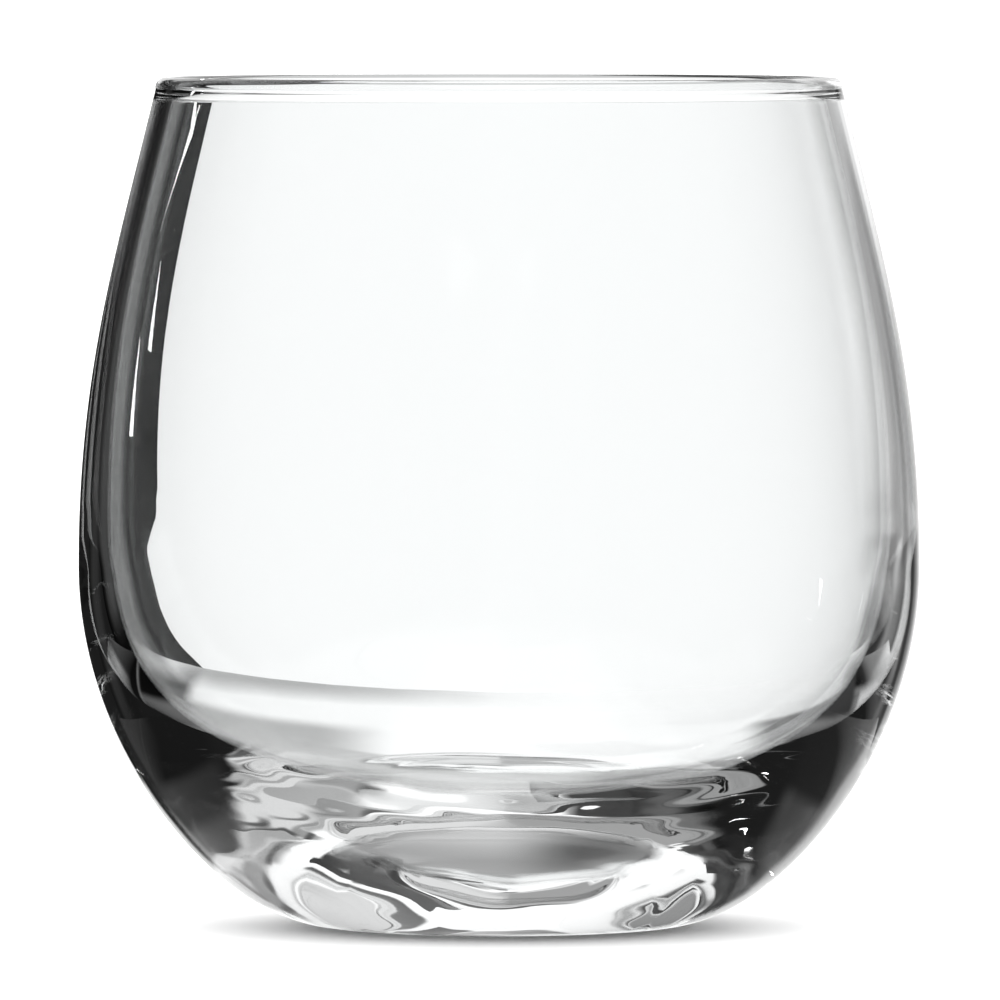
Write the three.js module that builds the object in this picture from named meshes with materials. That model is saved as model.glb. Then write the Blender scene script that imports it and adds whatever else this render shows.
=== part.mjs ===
// Gin tumbler: a stemless drinking glass with a round belly, a narrower mouth and a heavy base.
// It is formed from one gob of clear glass, so lip, wall and base are one piece with no joint or seam.
// Millimetres, +Z up. The origin is the centre of the ring that the glass stands on.
import * as THREE from "three";

// Outside
const HEIGHT = 96; // table to the top of the lip
const BELLY_RADIUS = 47.65; // at the widest point
const BELLY_HEIGHT = 40.65; // table to the widest point
const MOUTH_RADIUS = 38.9; // outermost point of the lip
const MOUTH_LEAN_DEG = 13.6; // how far the wall leans in at the mouth
const FOOT_RADIUS = 19.3; // outer edge of the standing ring

// Thickness of the glass
const MOUTH_WALL = 2.1; // just under the lip
const LIP_SWELL = 0.1; // how far the fire-polished lip stands out from each face of the wall
const BELLY_WALL = 3.2; // between the widest points of the outside and of the bowl
const BASE_THICKNESS = 8.8; // table to the floor of the bowl, on the axis
const BOWL_BELLY_RISE = 4.5; // the bowl is widest a little higher than the outside is

// Underside
const RING_WIDTH = 4; // flat of the standing ring
const PUNT_DEPTH = 0.6; // hollow under the base, on the axis

// Fullness of the curves: each end tangent's length as a share of the distance that the curve covers along it
const HEEL_FULLNESS_AT_FOOT = 0.411;
const HEEL_FULLNESS_AT_BELLY = 0.532;
const SHOULDER_FULLNESS_AT_BELLY = 0.405;
const SHOULDER_FULLNESS_AT_MOUTH = 0.357;
const BOWL_FULLNESS_AT_BELLY = 0.72;
const BOWL_FULLNESS_AT_FLOOR = 0.6;

// Facets
const TURN_STEPS = 72; // round the axis
const PUNT_STEPS = 6;
const HEEL_STEPS = 13;
const SHOULDER_STEPS = 9;
const LIP_STEPS = 9;
const BOWL_STEPS = 14;

// A profile point: x is the distance from the axis, y the height above the table.
const at = (radius, height) => new THREE.Vector2(radius, height);

// The wall's directions at the mouth: out of its outer face, and down along it
const lean = THREE.MathUtils.degToRad(MOUTH_LEAN_DEG);
const outward = at(Math.cos(lean), Math.sin(lean));
const downward = at(Math.sin(lean), -Math.cos(lean));

// The lip is a round bead a little thicker than the wall, and meets both faces of the wall below its middle.
const lipRadius = MOUTH_WALL / 2 + LIP_SWELL;
const lipCentre = at(MOUTH_RADIUS - lipRadius, HEIGHT - lipRadius);
const lipNeck = Math.sqrt(lipRadius ** 2 - (MOUTH_WALL / 2) ** 2);
const lipUndercut = Math.atan2(lipNeck, MOUTH_WALL / 2);
const underLip = lipCentre.clone().addScaledVector(downward, lipNeck);
const outerMouth = underLip.clone().addScaledVector(outward, MOUTH_WALL / 2);
const innerMouth = underLip.clone().addScaledVector(outward, -MOUTH_WALL / 2);
const lip = new THREE.EllipseCurve(
  lipCentre.x, lipCentre.y, lipRadius, lipRadius,
  lean - lipUndercut, lean + Math.PI + lipUndercut, false,
);

// The punt is a shallow dome inside the standing ring, an arc centred on the axis.
const puntRadius = FOOT_RADIUS - RING_WIDTH;
const puntArcRadius = (puntRadius ** 2 + PUNT_DEPTH ** 2) / (2 * PUNT_DEPTH);
const puntArcAngle = Math.asin(puntRadius / puntArcRadius);
const punt = new THREE.EllipseCurve(
  0, PUNT_DEPTH - puntArcRadius, puntArcRadius, puntArcRadius,
  Math.PI / 2, Math.PI / 2 - puntArcAngle, true,
);
const ring = new THREE.LineCurve(at(puntRadius, 0), at(FOOT_RADIUS, 0));

// The heel leaves the standing ring flat and is upright at the belly.
const heel = new THREE.CubicBezierCurve(
  at(FOOT_RADIUS, 0),
  at(FOOT_RADIUS + HEEL_FULLNESS_AT_FOOT * (BELLY_RADIUS - FOOT_RADIUS), 0),
  at(BELLY_RADIUS, BELLY_HEIGHT * (1 - HEEL_FULLNESS_AT_BELLY)),
  at(BELLY_RADIUS, BELLY_HEIGHT),
);

// A shoulder runs from a belly, where it is upright, to the leaning wall under the lip.
function shoulder(bellyRadius, bellyHeight, mouth) {
  const rise = mouth.y - bellyHeight;
  return new THREE.CubicBezierCurve(
    at(bellyRadius, bellyHeight),
    at(bellyRadius, bellyHeight + SHOULDER_FULLNESS_AT_BELLY * rise),
    mouth.clone().addScaledVector(downward, SHOULDER_FULLNESS_AT_MOUTH * rise),
    mouth,
  );
}

// The bowl's wall thickens downwards, and its floor is level on the axis.
const bowlRadius = BELLY_RADIUS - BELLY_WALL;
const bowlHeight = BELLY_HEIGHT + BOWL_BELLY_RISE;
const bowl = new THREE.CubicBezierCurve(
  at(bowlRadius, bowlHeight),
  at(bowlRadius, bowlHeight - BOWL_FULLNESS_AT_BELLY * (bowlHeight - BASE_THICKNESS)),
  at(BOWL_FULLNESS_AT_FLOOR * bowlRadius, BASE_THICKNESS),
  at(0, BASE_THICKNESS),
);

// The profile starts under the base on the axis, goes up the outside, over the lip and down to the bowl's floor.
const profile = [
  punt.getPoints(PUNT_STEPS),
  ring.getPoints(1),
  heel.getPoints(HEEL_STEPS),
  shoulder(BELLY_RADIUS, BELLY_HEIGHT, outerMouth).getPoints(SHOULDER_STEPS),
  lip.getPoints(LIP_STEPS),
  shoulder(bowlRadius, bowlHeight, innerMouth).getPoints(SHOULDER_STEPS).reverse(),
  bowl.getPoints(BOWL_STEPS),
].flatMap((points, index) => (index === 0 ? points : points.slice(1)));

// Both ends of the profile lie on the axis.
profile[0].x = 0;
profile[profile.length - 1].x = 0;

const clearGlass = new THREE.MeshStandardMaterial({
  color: "#eef2f1",
  roughness: 0.02,
  metalness: 0,
  transparent: true,
  opacity: 0.35,
});

const tumbler = new THREE.Mesh(new THREE.LatheGeometry(profile, TURN_STEPS), clearGlass);
tumbler.name = "tumbler";
tumbler.rotation.x = Math.PI / 2; // the lathe turns round Y, and the glass stands along Z

const ginTumbler = new THREE.Group();
ginTumbler.add(tumbler);

export default ginTumbler;
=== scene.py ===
import math

import bpy
import numpy as np
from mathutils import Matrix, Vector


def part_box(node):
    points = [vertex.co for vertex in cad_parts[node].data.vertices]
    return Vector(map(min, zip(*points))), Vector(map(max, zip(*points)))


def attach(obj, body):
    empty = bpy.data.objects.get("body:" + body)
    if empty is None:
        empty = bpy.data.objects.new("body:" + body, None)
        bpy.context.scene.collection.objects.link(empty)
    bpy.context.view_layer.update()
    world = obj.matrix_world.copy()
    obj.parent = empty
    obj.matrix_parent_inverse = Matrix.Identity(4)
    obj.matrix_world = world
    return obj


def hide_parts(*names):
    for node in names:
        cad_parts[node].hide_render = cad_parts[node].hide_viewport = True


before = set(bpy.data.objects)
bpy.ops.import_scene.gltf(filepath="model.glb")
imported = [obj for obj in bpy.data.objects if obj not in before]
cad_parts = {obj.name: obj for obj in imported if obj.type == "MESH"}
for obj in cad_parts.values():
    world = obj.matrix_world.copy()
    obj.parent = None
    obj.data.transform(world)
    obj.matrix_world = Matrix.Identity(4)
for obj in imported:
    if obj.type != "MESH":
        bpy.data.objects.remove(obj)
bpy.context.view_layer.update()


# The glass: lip, wall, belly and heavy base in one piece, blown in a mould from a single gob of clear
# soda-lime glass. The rim is cut and fire-polished to a round bead, and the foot is a flat ring round a
# shallow hollow.
MM = 0.001
low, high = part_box("tumbler")
HEIGHT = high[2] - low[2]
BELLY_RADIUS = (high[0] - low[0]) / 2
BELLY_HEIGHT = 40.65 * MM
MOUTH_RADIUS = 38.9 * MM
MOUTH_LEAN = math.radians(13.6)
FOOT_RADIUS = 19.3 * MM
MOUTH_WALL = 2.1 * MM
LIP_SWELL = 0.1 * MM
BELLY_WALL = 3.2 * MM
BASE_THICKNESS = 8.8 * MM
BOWL_BELLY_RISE = 4.5 * MM
RING_WIDTH = 4 * MM
PUNT_DEPTH = 0.6 * MM
HEEL_FULLNESS = (0.411, 0.532)
SHOULDER_FULLNESS = (0.405, 0.357)
BOWL_FULLNESS = (0.72, 0.6)
# Facets along the half section, and round the axis
PUNT_STEPS = 24
RING_STEPS = 4
HEEL_STEPS = 72
SHOULDER_STEPS = 44
LIP_STEPS = 28
BOWL_STEPS = 84
TURN_STEPS = 256
# Unevenness: the bowl's floor leans and has rings on it, and the base is wavy, but the foot stays true
FLOOR_LEAN = math.radians(1.5)
RIPPLE_CENTRE = (-2 * MM, 0)
RIPPLE_DEPTH = 0.02 * MM
RIPPLE_LENGTH = 7 * MM
RIPPLE_REACH = 15 * MM
WAVE_DEPTH = 0.016 * MM
WAVE_FADE = 9 * MM
EVEN_HEIGHT = 2 * MM
EVEN_SOFTNESS = 4 * MM
# Each wave: length along X, Y and Z in mm, where a minus slants it the other way, and its start in turns
WAVES = [(11, 17, 23, 0.1), (-9, 14, 31, 0.6), (23, -8, 12, 0.35), (-15, -21, 9, 0.8)]


def steps(count):
    """Even steps from 0 to 1, without the first, as a column."""
    return np.linspace(0, 1, count + 1)[1:, None]


def bezier(points, count):
    """Cubic curve: the four points weighted by the terms of ((1 - t) + t) cubed."""
    a, b, c, d = (np.array(point) for point in points)
    t = steps(count)
    return (1 - t) ** 3 * a + 3 * t * (1 - t) ** 2 * b + 3 * t ** 2 * (1 - t) * c + t ** 3 * d


def arc(centre, radius, start, end, count):
    """Part of a circle: the centre plus the radius turned evenly from the start angle to the end angle."""
    angle = start + (end - start) * steps(count)
    return np.array(centre) + radius * np.hstack([np.cos(angle), np.sin(angle)])


def glass_profile():
    """Half section of the glass as radius and height: arcs, a line and cubic curves, end to end.

    It runs from the middle of the hollow up the outside, over the lip and down to the bowl's floor.
    """
    outward = np.array([math.cos(MOUTH_LEAN), math.sin(MOUTH_LEAN)])
    downward = np.array([math.sin(MOUTH_LEAN), -math.cos(MOUTH_LEAN)])
    lip_radius = MOUTH_WALL / 2 + LIP_SWELL
    lip_centre = np.array([MOUTH_RADIUS - lip_radius, HEIGHT - lip_radius])
    neck = math.sqrt(lip_radius ** 2 - (MOUTH_WALL / 2) ** 2)
    undercut = math.atan2(neck, MOUTH_WALL / 2)
    under_lip = lip_centre + downward * neck
    outer_mouth = under_lip + outward * MOUTH_WALL / 2
    inner_mouth = under_lip - outward * MOUTH_WALL / 2
    punt_radius = FOOT_RADIUS - RING_WIDTH
    punt_arc = (punt_radius ** 2 + PUNT_DEPTH ** 2) / (2 * PUNT_DEPTH)
    punt_angle = math.asin(punt_radius / punt_arc)
    bowl_radius = BELLY_RADIUS - BELLY_WALL
    bowl_height = BELLY_HEIGHT + BOWL_BELLY_RISE

    def shoulder(radius, height, mouth):
        rise = mouth[1] - height
        return [
            (radius, height),
            (radius, height + SHOULDER_FULLNESS[0] * rise),
            mouth + downward * SHOULDER_FULLNESS[1] * rise,
            mouth,
        ]

    heel = [
        (FOOT_RADIUS, 0),
        (FOOT_RADIUS + HEEL_FULLNESS[0] * (BELLY_RADIUS - FOOT_RADIUS), 0),
        (BELLY_RADIUS, BELLY_HEIGHT * (1 - HEEL_FULLNESS[1])),
        (BELLY_RADIUS, BELLY_HEIGHT),
    ]
    bowl = [
        (bowl_radius, bowl_height),
        (bowl_radius, bowl_height - BOWL_FULLNESS[0] * (bowl_height - BASE_THICKNESS)),
        (BOWL_FULLNESS[1] * bowl_radius, BASE_THICKNESS),
        (0, BASE_THICKNESS),
    ]
    return np.vstack([
        [(0, PUNT_DEPTH)],
        arc((0, PUNT_DEPTH - punt_arc), punt_arc, math.pi / 2, math.pi / 2 - punt_angle, PUNT_STEPS),
        np.array([punt_radius, 0]) + steps(RING_STEPS) * [RING_WIDTH, 0],
        bezier(heel, HEEL_STEPS),
        bezier(shoulder(BELLY_RADIUS, BELLY_HEIGHT, outer_mouth), SHOULDER_STEPS),
        arc(lip_centre, lip_radius, MOUTH_LEAN - undercut, MOUTH_LEAN + math.pi + undercut, LIP_STEPS),
        bezier(shoulder(bowl_radius, bowl_height, inner_mouth)[::-1], SHOULDER_STEPS),
        bezier(bowl, BOWL_STEPS),
    ])


def inside(value, ends, softness):
    """1 between the two ends and 0 outside them, with a soft edge of the given width across each end.

    The edge is an S-curve: three t squared less two t cubed.
    """
    rise = np.clip((value - ends[0]) / softness + 0.5, 0, 1)
    fall = np.clip((ends[1] - value) / softness + 0.5, 0, 1)
    return rise ** 2 * (3 - 2 * rise) * fall ** 2 * (3 - 2 * fall)


def uneven(x, y, z, bowl):
    """Offset from the true shape: sines of the place that fade with height, and rings on the bowl's floor.

    The rings are a cosine of the distance from their centre under a bell curve. The bowl's floor also leans:
    a slope along X, times the square of one less the squared share of the belly's radius.
    """
    waves = sum(
        np.sin(2 * math.pi * (x / (a * MM) + y / (b * MM) + z / (c * MM) + d))
        for a, b, c, d in WAVES
    )
    off = np.hypot(x - RIPPLE_CENTRE[0], y - RIPPLE_CENTRE[1])
    rings = np.cos(2 * math.pi * off / RIPPLE_LENGTH) * np.exp(-(off / RIPPLE_REACH) ** 2)
    lean = -math.tan(FLOOR_LEAN) * x * (1 - np.minimum(np.hypot(x, y) / BELLY_RADIUS, 1) ** 2) ** 2
    return WAVE_DEPTH * waves * np.exp(-z / WAVE_FADE) + np.where(bowl, RIPPLE_DEPTH * rings + lean, 0)


def turned(name, profile, turns):
    """Surface of revolution: each profile point carried round the axis, then moved along its normal.

    The move is the unevenness, which starts above the foot. Both ends of the profile are one point each.
    """
    angle = np.linspace(0, 2 * math.pi, turns, endpoint=False)
    radius, height = profile[1:-1].T
    x = radius[:, None] * np.cos(angle)
    y = radius[:, None] * np.sin(angle)
    z = np.broadcast_to(height[:, None], x.shape)
    along = np.gradient(profile, axis=0)[1:-1]
    normal = np.stack([along[:, 1], -along[:, 0]]) / np.hypot(*along.T)
    bowl = (np.arange(len(radius)) >= len(radius) - BOWL_STEPS)[:, None]
    push = uneven(x, y, z, bowl) * inside(z, (EVEN_HEIGHT, 2 * HEIGHT), EVEN_SOFTNESS)
    x = x + push * normal[0][:, None] * np.cos(angle)
    y = y + push * normal[0][:, None] * np.sin(angle)
    z = z + push * normal[1][:, None]
    ends = np.array([[0, 0, profile[0, 1]], [0, 0, np.mean(z[-1])]])
    grid = np.stack([x, y, z], axis=-1).reshape(-1, 3)
    rows = len(radius)
    here = np.arange(rows * turns).reshape(rows, turns)
    beside = np.roll(here, -1, axis=1)
    quads = np.stack([here[:-1], beside[:-1], beside[1:], here[1:]], axis=-1).reshape(-1, 4)
    first, last = rows * turns, rows * turns + 1
    bottom = np.stack([beside[0], here[0], np.full(turns, first)], axis=-1)
    top = np.stack([here[-1], beside[-1], np.full(turns, last)], axis=-1)
    mesh = bpy.data.meshes.new(name)
    mesh.from_pydata(np.vstack([grid, ends]), [], [*quads.tolist(), *bottom.tolist(), *top.tolist()])
    mesh.shade_smooth()
    made = bpy.data.objects.new(name, mesh)
    bpy.context.collection.objects.link(made)
    return made


def linear(code):
    """Linear colour of an sRGB hex code: the standard curve, 2.4 power above its straight foot."""
    srgb = np.array([int(code[i:i + 2], 16) for i in (1, 3, 5)]) / 255
    return (*np.where(srgb <= 0.04045, srgb / 12.92, ((srgb + 0.055) / 1.055) ** 2.4), 1.0)


def add_node(tree, kind, settings=None, **links):
    """Adds a node, sets its sockets by name, and links its named inputs to other nodes' outputs."""
    node = tree.nodes.new(kind)
    for socket, value in (settings or {}).items():
        node.inputs[socket].default_value = value
    for socket, source in links.items():
        tree.links.new(source, node.inputs[socket])
    return node


def new_material(name):
    """An empty node material and its tree."""
    material = bpy.data.materials.new(name)
    material.use_nodes = True
    material.node_tree.nodes.clear()
    return material, material.node_tree


# Clear to the eye: each skin takes a little light and leaves it cool, so the base, seen through many skins,
# is greyer than the wall. The fire-polished skin swells and sinks by a few thousandths of a millimetre.
SKIN_LENGTH = 12 * MM
SKIN_DEPTH = 0.004 * MM
clear_glass, tree = new_material("soda_lime_glass_blown")
place = add_node(tree, "ShaderNodeTexCoord")
skin = add_node(tree, "ShaderNodeTexNoise", {
    "Scale": 1 / SKIN_LENGTH,
    "Detail": 1.0,
}, Vector=place.outputs["Object"])
bump = add_node(tree, "ShaderNodeBump", {"Distance": SKIN_DEPTH}, Height=skin.outputs["Fac"])
shader = add_node(tree, "ShaderNodeBsdfPrincipled", {
    "Base Color": linear("#fdfefe"),
    "Roughness": 0.0,
    "IOR": 1.52,
    "Transmission Weight": 1.0,
}, Normal=bump.outputs["Normal"])
add_node(tree, "ShaderNodeOutputMaterial", Surface=shader.outputs["BSDF"])

glass = turned("glass", glass_profile(), TURN_STEPS)
glass.data.materials.append(clear_glass)
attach(glass, "root")
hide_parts("tumbler")


# The floor: a plain white sheet, lit evenly from all round, that shows the glass's soft shadow.
FLOOR_REACH = 12.0
FLOOR_DROP = 0.3 * MM
FLOOR_LIGHT = 2.3

floor_mesh = bpy.data.meshes.new("floor")
corner = np.array([[-1, -1, 0], [1, -1, 0], [1, 1, 0], [-1, 1, 0]]) * FLOOR_REACH - [0, 0, FLOOR_DROP]
floor_mesh.from_pydata(corner, [], [(0, 1, 2, 3)])
floor = bpy.data.objects.new("floor", floor_mesh)
bpy.context.collection.objects.link(floor)
# Matt white, so it shows the shadow and no gloss
white_sheet, tree = new_material("white_card_matt")
shader = add_node(tree, "ShaderNodeBsdfDiffuse", {"Color": linear("#ffffff")})
add_node(tree, "ShaderNodeOutputMaterial", Surface=shader.outputs["BSDF"])
floor_mesh.materials.append(white_sheet)
floor.visible_transmission = False
floor.visible_glossy = False

# The world's light falls on the floor only, because the tent hides it from the glass
world = bpy.data.worlds.new("even_light")
bpy.context.scene.world = world
world.use_nodes = True
world.node_tree.nodes.clear()
light = add_node(world.node_tree, "ShaderNodeBackground", {
    "Color": linear("#ffffff"),
    "Strength": FLOOR_LIGHT,
})
add_node(world.node_tree, "ShaderNodeOutputWorld", Surface=light.outputs["Background"])


# The camera: far off and a little above the rim, with a long lens.
CAMERA_DISTANCE = 1.6
CAMERA_HEIGHT = 0.112
FOCAL_PIXELS = 14140.0
IMAGE_PIXELS = 1000
CENTRE_PIXEL = (499.0, 501.0)
SENSOR = 36.0
CLIP_END = 100.0

camera_data = bpy.data.cameras.new("camera")
camera_data.sensor_width = SENSOR
camera_data.lens = SENSOR * FOCAL_PIXELS / IMAGE_PIXELS
camera_data.shift_x = 0.5 - CENTRE_PIXEL[0] / IMAGE_PIXELS
camera_data.shift_y = CENTRE_PIXEL[1] / IMAGE_PIXELS - 0.5
camera_data.clip_end = CLIP_END
camera = bpy.data.objects.new("camera", camera_data)
bpy.context.collection.objects.link(camera)
camera.location = (0, -CAMERA_DISTANCE, CAMERA_HEIGHT)
camera.rotation_euler = (math.pi / 2 - math.atan2(CAMERA_HEIGHT - HEIGHT / 2, CAMERA_DISTANCE), 0, 0)
bpy.context.scene.camera = camera


# The set: a white cloth tent round the glass with black and grey cards hung in it, and a polished table with
# painted shade and painted reflections on it as dark and grey fields, all seen only through the glass and in
# it.
# It turns with the camera, as when a glass is turned before a fixed set.
TENT_RADIUS = 6.0
TENT_GLOW = 1.18
TENT_STEP = 1.5
# Each card: azimuths from +Y towards +X, elevations, widths of its soft edges, all in degrees, and its glow
CARDS = {
    "overhead": ((-186, 186), (32, 95), (6, 15), 0.75),
    "overhead_left": ((-186, 0), (45, 95), (20, 15), 0.35),
    "under": ((-186, 186), (-95, -27), (6, 8), 0.65),
    "left_grey": ((-66, -22), (7, 45), (5, 4), 0.12),
    "left_low": ((-66, -20), (-60, 11), (5, 4), 0.0),
    "left_streak": ((-38, -31), (-16, 9), (4, 6), 0.08),
    "left_high": ((-25, -13), (4, 18), (3, 3), 0.02),
    "foot_shade": ((-9, -1), (17, 34), (3, 4), 0.05),
    "right_light": ((24, 186), (-5, 62), (5, 4), 0.8),
    "right_upper": ((26, 56), (6, 20), (4, 3), 0.45),
    "right_sliver": ((18, 25), (-24, -10), (2.5, 4), 0.1),
    "right_wall": ((22, 37), (-7, 5.5), (5, 3), 0.33),
    "right_table": ((28, 66), (-60, -14), (6, 4), 0.02),
    "right_low": ((30, 66), (-14, -4), (6, 3), 0.12),
    "right_shade": ((14.5, 28), (-9, 3), (10, 4), 0.4),
    "right_under": ((20, 30), (-60, -9), (8, 4), 0.3),
    "right_gap": ((20.5, 26), (-12, 5), (3, 4), 0.1),
    "far_left": ((-186, -46), (-60, 45), (6, 8), 0.01),
    "far_right": ((58, 186), (-60, 45), (6, 8), 0.01),
    "left_haze": ((-82, -30), (27, 60), (8, 8), 0.33),
    "right_haze": ((30, 75), (36, 62), (8, 8), 0.6),
}
# The flag: a black card whose right edge is hollowed at one height, in degrees
FLAG_DISTANCE = 0.9 * TENT_RADIUS
FLAG_LEFT = -28
FLAG_RIGHT = -7.3
FLAG_HEIGHT = (-50, 5.5)
FLAG_HOLLOW = 3.6
FLAG_HOLLOW_AT = -10
FLAG_HOLLOW_REACH = 6
FLAG_GLOW = 0.015
# Two narrow lamps that widen from a point: the point, the two far corners, and how much the edges bend
LAMPS = {
    "upper_lamp": ((-52.5, 11.1), (-56.7, 13.3), (-59.9, 14.0), 1.7),
    "lower_lamp": ((-53.1, 8.4), (-55.3, 4.0), (-57.6, 4.2), 0.7),
}
LAMP_DISTANCE = 0.8 * TENT_RADIUS
LAMP_ROWS = 13
LAMP_GLOW = 10.0
# The table: a white sheet under the glass, in mm, with painted shade on the near side of a slanting edge
TABLE_REACH = 90
TABLE_STEP = 1.0
TABLE_GLOW = 1.18
SHADE_REACH = 3 * TABLE_REACH
SHADE_EDGE = 11
SHADE_SLANT = 0.33
SHADE_SOFTNESS = 3
SHADE_GLOW = 0.6
# Its gloss: one less the cosine of the eye's angle off the upright, where gloss starts and where it is whole
GLOSS_RANGE = (0.61, 0.71)
GLOSS_ROUGHNESS = 0.1
# Each field of painted shade and painted reflection on the table: ends along X and Y, width of its soft
# edges, all in mm, and its glow
TABLE_PAINTED_SHADE_AND_REFLECTIONS = {
    "left_near": ((-60, -19), (-10, 40), 13, 0.5),
    "right_near": ((11, 46), (-10, 4.5), 9, 0.3),
    "left": ((-130, -47.5), (37, 130), 4, 0.0),
    "left_tail": ((-130, -46), (-60, 37), 5, 0.2),
    "left_side": ((-130, -60), (-60, 37), 6, 0.0),
    "right_side": ((36, 66), (-8, 38), 6, 0.33),
    "right": ((65, 130), (-60, 130), 12, 0.0),
    "right_tail": ((53, 130), (-60, 32), 6, 0.06),
    "left_front": ((-130, -22), (-130, -18), 8, 0.04),
    "right_front": ((32, 130), (-130, -10), 8, 0.03),
    "left_foot": ((-30, -16), (-17, -2), 9, 0.25),
    "front_band": ((-22, 8), (-18, -7), 9, 0.35),
    "front_dark": ((4, 36), (-22, -9), 11, 0.05),
    "right_foot": ((14, 36), (-19, -2), 10, 0.1),
}

turntable = bpy.data.objects.new("turntable", None)
bpy.context.collection.objects.link(turntable)
follow = turntable.constraints.new("LOCKED_TRACK")
follow.target = camera
follow.track_axis = "TRACK_NEGATIVE_Y"
follow.lock_axis = "LOCK_Z"

# Lit evenly from behind: a soft white glow, dimmer where a card hangs
glowing_cloth, tree = new_material("tent_cloth_lit")
level = add_node(tree, "ShaderNodeAttribute")
level.attribute_name = "glow"
shader = add_node(tree, "ShaderNodeEmission", {"Color": linear("#ffffff")}, Strength=level.outputs["Fac"])
add_node(tree, "ShaderNodeOutputMaterial", Surface=shader.outputs["Emission"])

# Polished: it mirrors the set to an eye near its own height, and shows its white and its painted shade and
# painted reflections from above
polished_table, tree = new_material("white_table_polished")
level = add_node(tree, "ShaderNodeAttribute")
level.attribute_name = "glow"
lit = add_node(tree, "ShaderNodeEmission", {"Color": linear("#ffffff")}, Strength=level.outputs["Fac"])
facing = add_node(tree, "ShaderNodeLayerWeight")
amount = add_node(tree, "ShaderNodeMapRange", {
    "From Min": GLOSS_RANGE[0],
    "From Max": GLOSS_RANGE[1],
}, Value=facing.outputs["Facing"])
gloss = add_node(tree, "ShaderNodeBsdfGlossy", {"Color": linear("#ffffff"), "Roughness": GLOSS_ROUGHNESS})
shader = add_node(tree, "ShaderNodeMixShader", Fac=amount.outputs["Result"])
# The two shader inputs share one name, so they are linked by number
tree.links.new(lit.outputs["Emission"], shader.inputs[1])
tree.links.new(gloss.outputs["BSDF"], shader.inputs[2])
add_node(tree, "ShaderNodeOutputMaterial", Surface=shader.outputs["Shader"])


def sheet(name, place, material, glow):
    """A grid of places joined by quads, with a glow at each, seen only through the glass and in it."""
    here = np.arange(place[..., 0].size).reshape(place.shape[:2])
    quads = np.stack([here[:-1, :-1], here[1:, :-1], here[1:, 1:], here[:-1, 1:]], axis=-1).reshape(-1, 4)
    mesh = bpy.data.meshes.new(name)
    mesh.from_pydata(place.reshape(-1, 3), [], quads.tolist())
    shown = np.broadcast_to(glow, here.shape).astype(np.float32)
    mesh.attributes.new("glow", "FLOAT", "POINT").data.foreach_set("value", shown.ravel())
    mesh.materials.append(material)
    made = bpy.data.objects.new(name, mesh)
    bpy.context.collection.objects.link(made)
    made.parent = turntable
    made.visible_camera = False
    made.visible_diffuse = False
    made.visible_shadow = False
    made.visible_volume_scatter = False


def round_glass(radius, azimuth, elevation):
    """Places on a sphere round the glass's foot, from azimuths and elevations in degrees."""
    az = np.radians(azimuth)
    el = np.radians(elevation)
    return radius * np.stack([np.cos(el) * np.sin(az), np.cos(el) * np.cos(az), np.sin(el)], axis=-1)


def spread(first, second, step):
    """Two grids over two ranges, no wider apart than the step."""
    ends = [np.linspace(*span, math.ceil((span[1] - span[0]) / step) + 1) for span in (first, second)]
    return np.meshgrid(*ends, indexing="ij")


azimuth, elevation = spread((-180, 180), (-90, 90), TENT_STEP)
glow = np.full(azimuth.shape, TENT_GLOW)
for across, up, softness, patch_glow in CARDS.values():
    glow += (patch_glow - glow) * inside(azimuth, across, softness[0]) * inside(elevation, up, softness[1])
sheet("tent", round_glass(TENT_RADIUS, azimuth, elevation), glowing_cloth, glow)
share, elevation = spread((0, 1), FLAG_HEIGHT, TENT_STEP)
right_edge = FLAG_RIGHT - FLAG_HOLLOW * np.exp(-((elevation - FLAG_HOLLOW_AT) / FLAG_HOLLOW_REACH) ** 2)
azimuth = FLAG_LEFT + share * (right_edge - FLAG_LEFT)
sheet("left_flag", round_glass(FLAG_DISTANCE, azimuth, elevation), glowing_cloth, FLAG_GLOW)
for name, (point, near_corner, far_corner, bend) in LAMPS.items():
    along = np.linspace(0, 1, LAMP_ROWS)[:, None]
    corners = np.array([near_corner, far_corner])
    azimuth = point[0] + along ** bend * (corners[:, 0] - point[0])
    elevation = point[1] + along * (corners[:, 1] - point[1])
    sheet(name, round_glass(LAMP_DISTANCE, azimuth, elevation), glowing_cloth, LAMP_GLOW)
x, y = spread((-TABLE_REACH, TABLE_REACH), (-TABLE_REACH, TABLE_REACH), TABLE_STEP)
# Painted shade: the table glows greyer on the near side of the slanting edge
shade = inside(y + SHADE_SLANT * x, (-SHADE_REACH, SHADE_EDGE), SHADE_SOFTNESS)
glow = TABLE_GLOW + (SHADE_GLOW - TABLE_GLOW) * shade
# Painted shade and painted reflections: dark and grey fields laid over the table's glow
for across, along, softness, patch_glow in TABLE_PAINTED_SHADE_AND_REFLECTIONS.values():
    glow += (patch_glow - glow) * inside(x, across, softness) * inside(y, along, softness)
table_place = np.stack([x * MM, y * MM, np.full(x.shape, -FLOOR_DROP / 2)], axis=-1)
sheet("table", table_place, polished_table, glow)


# The picture: plain colours, and enough bounces for light to cross the many skins of the glass.
BOUNCES = 36

scene = bpy.context.scene
scene.view_settings.view_transform = "Standard"
scene.cycles.max_bounces = BOUNCES
scene.cycles.transmission_bounces = BOUNCES
scene.cycles.glossy_bounces = BOUNCES
